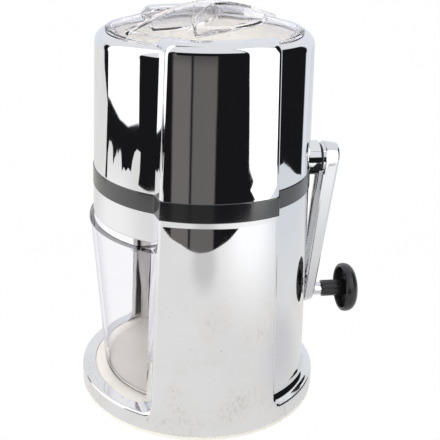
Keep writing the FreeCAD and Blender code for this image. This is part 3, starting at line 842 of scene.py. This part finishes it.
def arm_outline(inset, n=20):
    """Hull of the two end circles, in the X-Z plane."""
    ra, rb_ = 10.3 - inset, 8.2 - inset
    tilt = math.asin((ra - rb_) / (shaft_z - knob_z))
    pts = [(ra * cos(a), shaft_z + ra * sin(a)) for a in lin(-tilt, math.pi + tilt, n)]
    pts += [(-rb_ * cos(a), knob_z - rb_ * sin(a)) for a in lin(-tilt, math.pi + tilt, n)]
    k = n + 1
    out = pts[:k]
    for i in range(1, 8):                      # long sides in short steps
        t = i / 8
        out.append((pts[k - 1][0] * (1 - t) + pts[k][0] * t, pts[k - 1][1] * (1 - t) + pts[k][1] * t))
    out += pts[k:]
    for i in range(1, 8):
        t = i / 8
        out.append((pts[-1][0] * (1 - t) + pts[0][0] * t, pts[-1][1] * (1 - t) + pts[0][1] * t))
    return out


def arm_ring(inset, t, dy=0.0):
    return [(x, arm_in(z) * (1 - t) + arm_out(z) * t + dy, z) for x, z in arm_outline(inset)]


arm_s = Soup()
rows = [arm_ring(2.2, 1.0, -2.8), arm_ring(2.2, 0.30), arm_ring(2.15, 0.03), arm_ring(1.9, 0.0), arm_ring(0.3, 0.0),
        arm_ring(0.05, 0.03)]
rows += [arm_ring(0.1 + 1.2 * t, 0.05 + 0.72 * t) for t in (0.0, 0.25, 0.5, 0.75, 1.0)]
rows += [arm_ring(1.35 + 1.9 * (1 - cos(rad(a))), 0.78 + 0.22 * sin(rad(a))) for a in lin(0, 90, 7)[1:]]
arm_s.grid(rows, close_v=True)
arm_s.fan(rows[0])
arm_s.fan(rows[-1])
arm_s.add(revolve([(0.0, 74.0), (9.0, 74.0), (9.4, 74.3), (9.3, 79.0), (0.0, 80.6)], n=64, closed=False, axis="y", centre=(0, 0, shaft_z)))
arm_s.add(revolve([(0.0, 72.6), (3.9, 72.6), (4.2, 72.9), (4.2, 81.6), (4.0, 81.9), (0.0, 81.9)], n=48, closed=False, axis="y", centre=(0, 0, knob_z)))
arm = new_object("crank_arm_body", arm_s.v, arm_s.f, "crank", replaces=("crank_arm",), sharp=44.0)
paint(arm, M["arm_chrome"])

# ------------------------------------------------------------------- stage --
world = bpy.data.worlds.new("studio")
SC.world = world
world.use_nodes = True
wt = world.node_tree
wt.nodes.clear()
w_out = wt.nodes.new("ShaderNodeOutputWorld")
bg = wt.nodes.new("ShaderNodeBackground")
wt.links.new(bg.outputs[0], w_out.inputs[0])
tc = wt.nodes.new("ShaderNodeTexCoord")
sep = wt.nodes.new("ShaderNodeSeparateXYZ")
wt.links.new(tc.outputs["Generated"], sep.inputs[0])
az = math_node(wt, "ARCTAN2", sep.outputs["Y"], sep.outputs["X"])
az = math_node(wt, "MULTIPLY", az, 180 / math.pi)
el = math_node(wt, "MULTIPLY", math_node(wt, "ARCSINE", sep.outputs["Z"]), 180 / math.pi)


def window(value, a, b, soft):
    rise = map_range(wt, value, a - soft, a + soft, 0.0, 1.0, "SMOOTHSTEP")
    fall = map_range(wt, value, b - soft, b + soft, 1.0, 0.0, "SMOOTHSTEP")
    return math_node(wt, "MULTIPLY", rise, fall)


def both(a, b):
    return math_node(wt, "MULTIPLY", a, b)


def layer(under, mask, color):
    mix = wt.nodes.new("ShaderNodeMix")
    mix.data_type = "RGBA"
    wt.links.new(mask, mix.inputs[0])
    if isinstance(under, tuple):
        mix.inputs[6].default_value = (*under, 1.0)
    else:
        wt.links.new(under, mix.inputs[6])
    mix.inputs[7].default_value = (*color, 1.0)
    return mix.outputs[2]


def ramp_value(value, points):
    """Piecewise linear function of a value."""
    out = None
    for (x0, y0), (x1, y1) in zip(points, points[1:]):
        part = map_range(wt, value, x0, x1, 0.0, y1 - y0)
        out = part if out is None else math_node(wt, "ADD", out, part)
    return math_node(wt, "ADD", out, points[0][1])


col = (0.010, 0.010, 0.011)
# soft grey shapes in the dark room
col = layer(col, both(window(az, -36, -20, 1.2), window(el, -60, -9.5, 1.0)), (0.16, 0.15, 0.145))
col = layer(col, both(window(az, -18, 3, 1.2), window(el, -60, -9.5, 1.0)), (0.140, 0.132, 0.128))
# pale backdrop behind the object
col = layer(col, math_node(wt, "ADD", window(az, 120, 400, 1.5), window(az, -400, -133, 1.5)), (0.80, 0.83, 0.895))
# softboxes
low_a = ramp_value(az, [(-124.0, -12.8), (-119.5, -12.9), (-115.0, -13.2), (-103.0, -13.9), (-91.0, -14.1), (-79.0, -13.6)])
edge_a = map_range(wt, math_node(wt, "SUBTRACT", el, low_a), -0.12, 0.12, 0.0, 1.0, "SMOOTHSTEP")
col = layer(col, both(both(window(az, -124, -77, 0.5), edge_a), window(el, -40, 75, 0.6)), (1.35, 1.36, 1.38))
left_b = ramp_value(el, [(-19.6, 37.5), (-19.0, 41.5), (-18.2, 36.5), (-17.6, 39.5), (-16.8, 34.5), (-13.0, 33.0), (-9.0, 31.0), (30.0, 30.0)])
card_b = both(map_range(wt, math_node(wt, "SUBTRACT", az, left_b), -0.4, 0.4, 0.0, 1.0, "SMOOTHSTEP"), both(window(az, 20, 64, 0.5), window(el, -80, 58, 1.0)))
fade_b = map_range(wt, el, -25.0, -20.0, 0.0, 1.0, "SMOOTHSTEP")
col = layer(col, card_b, (0.95, 0.95, 0.955))
col = layer(col, both(card_b, fade_b), (1.5, 1.5, 1.5))
# ceiling
low_c = ramp_value(az, [(64.0, 14.0), (70.0, 44.0), (84.0, 46.0), (104.0, 42.0), (122.0, 20.0)])
ceil_mask = map_range(wt, math_node(wt, "SUBTRACT", el, low_c), 0.0, 4.0, 0.0, 1.0, "SMOOTHSTEP")
outside = math_node(wt, "SUBTRACT", 1.0, both(window(az, 28, 64, 0.5), window(el, -80, 58, 1.0)))
outside2 = math_node(wt, "SUBTRACT", 1.0, window(az, -124, -77, 0.8))
col = layer(col, both(ceil_mask, both(outside, outside2)), (0.84, 0.85, 0.875))
wt.links.new(col, bg.inputs["Color"])
bg.inputs["Strength"].default_value = 1.0


def plane(name, x0, x1, y0, y1, z):
    me = bpy.data.meshes.new(name)
    me.from_pydata([(x0, y0, z), (x1, y0, z), (x1, y1, z), (x0, y1, z)], [], [(0, 1, 2, 3)])
    ob = bpy.data.objects.new(name, me)
    SC.collection.objects.link(ob)
    return ob


def see(ob, camera, diffuse, glossy, transmission, shadow=False):
    ob.visible_camera = camera
    ob.visible_diffuse = diffuse
    ob.visible_glossy = glossy
    ob.visible_transmission = transmission
    ob.visible_volume_scatter = False
    ob.visible_shadow = shadow


# pale floor
floor = plane("floor", -6, 6, -6, 6, -0.0002)
fm, nt_, fb = principled("floor_white", (0.93, 0.93, 0.93), 1.0)
nt_.nodes.remove(fb)
fo = next(n for n in nt_.nodes if n.type == "OUTPUT_MATERIAL")
fe = nt_.nodes.new("ShaderNodeEmission")
fn = noise(nt_, 6.0, 2.0)
fc = ramp(nt_, fn.outputs["Fac"], [(0.3, (0.995, 0.995, 0.995)), (0.7, (1.0, 1.0, 1.0))])
nt_.links.new(fc.outputs["Color"], fe.inputs["Color"])
nt_.links.new(fe.outputs[0], fo.inputs[0])
floor.data.materials.append(fm)
see(floor, True, True, False, True, True)

# the table as the plating sees it, a glowing card with its light and shade painted in: it ends at its edges
table_edge = [(-1.6, -1.3), (-0.45, -0.74), (-0.36, -0.58), (-0.30, -0.48), (-0.268, -0.412), (-0.240, -0.432),
              (-0.285, -0.520), (-0.292, -0.590), (-0.250, -0.610), (-0.213, -0.602), (-0.196, -0.565),
              (-0.179, -0.533), (-0.168, -0.575), (-0.155, -0.590), (-0.138, -0.625), (-0.120, -0.612),
              (-0.100, -0.640), (-0.075, -0.640), (-0.060, -0.610), (-0.045, -0.560), (-0.020, -0.585),
              (0.010, -0.572), (0.040, -0.590), (0.078, -0.574), (0.098, -0.620), (0.130, -0.652),
              (0.169, -0.662), (0.215, -0.640), (0.185, -0.560), (0.158, -0.512), (0.253, -0.462),
              (0.308, -0.436), (0.335, -0.400), (0.326, -0.275), (0.336, -0.220), (0.352, -0.160), (0.366, -0.057), (0.384, 0.060),
              (0.393, 0.175), (0.372, 0.270), (0.330, 0.335), (0.290, 0.420), (0.240, 0.560),
              (0.103, 0.594), (0.002, 0.566), (-0.172, 0.478), (-0.247, 0.412), (-0.330, 0.500), (-1.6, 1.6)]
table = plane("table_mirror", 0, 1, 0, 1, -0.0002)
table.data.clear_geometry()
table.data.from_pydata([(x, y, -0.0002) for x, y in table_edge], [], [tuple(range(len(table_edge)))])
tm = bpy.data.materials.new("table_pale")
tm.use_nodes = True
tt = tm.node_tree
tt.nodes.clear()
to = tt.nodes.new("ShaderNodeOutputMaterial")
te = tt.nodes.new("ShaderNodeEmission")
tn = noise(tt, 3.0, 2.0)
tr = ramp(tt, tn.outputs["Fac"], [(0.3, (0.79, 0.78, 0.765)), (0.7, (0.85, 0.845, 0.835))])
tco = tt.nodes.new("ShaderNodeTexCoord")
tse = tt.nodes.new("ShaderNodeSeparateXYZ")
tt.links.new(tco.outputs["Object"], tse.inputs[0])


def painted_light_shadow_pool(under, x, y, r0, r1, amount, color):
    """A soft round patch of painted light (lighter colour) or painted shadow (darker colour) on the table."""
    dx = math_node(tt, "SUBTRACT", tse.outputs["X"], x)
    dy = math_node(tt, "SUBTRACT", tse.outputs["Y"], y)
    d = math_node(tt, "SQRT", math_node(tt, "ADD", math_node(tt, "MULTIPLY", dx, dx), math_node(tt, "MULTIPLY", dy, dy)))
    f = map_range(tt, d, r0, r1, amount, 0.0, "SMOOTHSTEP")
    mix = tt.nodes.new("ShaderNodeMix")
    mix.data_type = "RGBA"
    tt.links.new(f, mix.inputs[0])
    tt.links.new(under, mix.inputs[6])
    mix.inputs[7].default_value = (*color, 1.0)
    return mix.outputs[2]


tc_ = tr.outputs["Color"]
# painted shade: cooler and darker towards the back of the table
tfa = map_range(tt, tse.outputs["Y"], 0.12, 0.42, 0.0, 1.0, "SMOOTHSTEP")
tmx = tt.nodes.new("ShaderNodeMix")
tmx.data_type = "RGBA"
tt.links.new(tfa, tmx.inputs[0])
tt.links.new(tc_, tmx.inputs[6])
tmx.inputs[7].default_value = (0.73, 0.76, 0.80, 1.0)
# painted pools of light at (-0.09, -0.38) and (0.36, 0.24), painted shadow at (0.345, -0.03) and (0.06, 0.13)
tc_ = painted_light_shadow_pool(tmx.outputs[2], -0.09, -0.38, 0.05, 0.30, 0.60, (1.12, 1.115, 1.11))
tc_ = painted_light_shadow_pool(tc_, 0.345, -0.03, 0.03, 0.085, 0.80, (0.60, 0.585, 0.58))
tc_ = painted_light_shadow_pool(tc_, 0.36, 0.24, 0.05, 0.26, 0.62, (1.35, 1.35, 1.35))
tc_ = painted_light_shadow_pool(tc_, 0.06, 0.13, 0.02, 0.09, 0.75, (0.62, 0.62, 0.65))
tt.links.new(tc_, te.inputs["Color"])
te.inputs["Strength"].default_value = 1.0
tt.links.new(te.outputs[0], to.inputs[0])
table.data.materials.append(tm)
see(table, False, False, True, False)


def dome():
    me = bpy.data.meshes.new("backdrop")
    s = revolve([(7.5 * cos(rad(t)), 7.5 * sin(rad(t))) for t in lin(-30, 89.9, 24)], n=48, closed=False)
    me.from_pydata(s.v, [], s.f)
    ob = bpy.data.objects.new("backdrop", me)
    SC.collection.objects.link(ob)
    return ob


back = dome()
bm_, bt_, _ = principled("backdrop_white", (1, 1, 1), 1.0)
bt_.nodes.clear()
bo = bt_.nodes.new("ShaderNodeOutputMaterial")
be = bt_.nodes.new("ShaderNodeEmission")
be.inputs["Color"].default_value = (1, 1, 1, 1)
be.inputs["Strength"].default_value = 1.0
bt_.links.new(be.outputs[0], bo.inputs[0])
back.data.materials.append(bm_)
see(back, True, False, False, True)


def area(name, loc, aim, size, power, color=(1, 1, 1)):
    ld = bpy.data.lights.new(name, "AREA")
    ld.shape = "SQUARE"
    ld.size = size
    ld.energy = power
    ld.color = color
    ob = bpy.data.objects.new(name, ld)
    SC.collection.objects.link(ob)
    ob.location = loc
    ob.rotation_mode = "QUATERNION"
    ob.rotation_quaternion = (Vector(loc) - Vector(aim)).to_track_quat("Z", "Y")
    ob.visible_glossy = False
    ob.visible_camera = False
    ob.visible_transmission = False
    return ob


area("key_soft", (0.9, -1.3, 1.9), (0, 0, 0.1), 1.6, 31.0)
area("fill_soft", (1.1, 1.4, 1.5), (0, 0, 0.1), 1.6, 20.0)
area("top_soft", (-0.6, 0.0, 2.2), (0, 0, 0.1), 2.0, 25.0)
area("front_soft", (0.75, -1.35, 0.50), (0, 0, 0.07), 0.9, 4.0)
